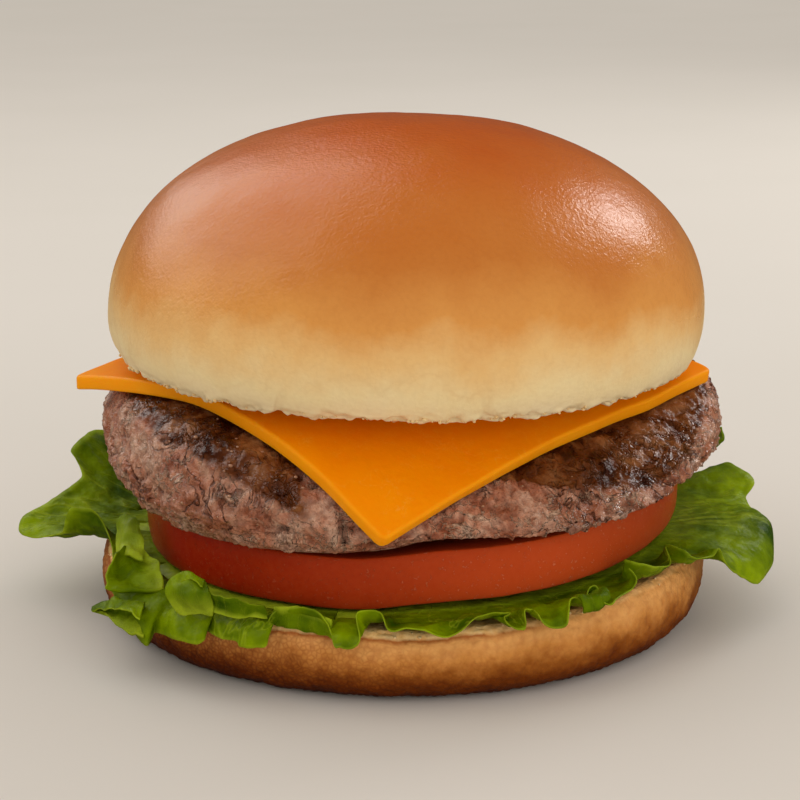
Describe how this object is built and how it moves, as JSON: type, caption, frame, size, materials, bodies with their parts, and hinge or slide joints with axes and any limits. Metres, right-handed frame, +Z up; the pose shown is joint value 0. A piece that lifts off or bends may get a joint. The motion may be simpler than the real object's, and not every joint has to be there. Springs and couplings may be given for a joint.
{
  "type": "cheeseburger",
  "caption": "Cheeseburger on a bun: beef patty under a square cheese slice with one corner hanging down, thick tomato slice and a frilled lettuce leaf.",
  "frame": {"origin": "centre of the flat underside of the heel, the surface that it stands on", "axes": "+Z up through the stack, -Y towards the side over which the corner of the cheese hangs, +X to the right seen from there"},
  "size_m": [0.146, 0.1252, 0.0933],
  "materials": {
    "heel_crust": "matte baked crust, finely pored, darker towards the base",
    "lettuce_leaf": "satin leaf with veins and pale edges",
    "tomato_skin": "glossy skin with fine drops of moisture",
    "cooked_beef": "coarse seared mince with greasy glints",
    "cheese_slice": "satin, soft, lightly scuffed",
    "crown_crust": "glazed crust, golden brown on top and cream at the edge"
  },
  "bodies": {
    "root": {"heel": "heel_crust", "lettuce": "lettuce_leaf", "tomato": "tomato_skin", "patty": "cooked_beef", "cheese": "cheese_slice", "crown": "crown_crust"}
  },
  "joints": []
}
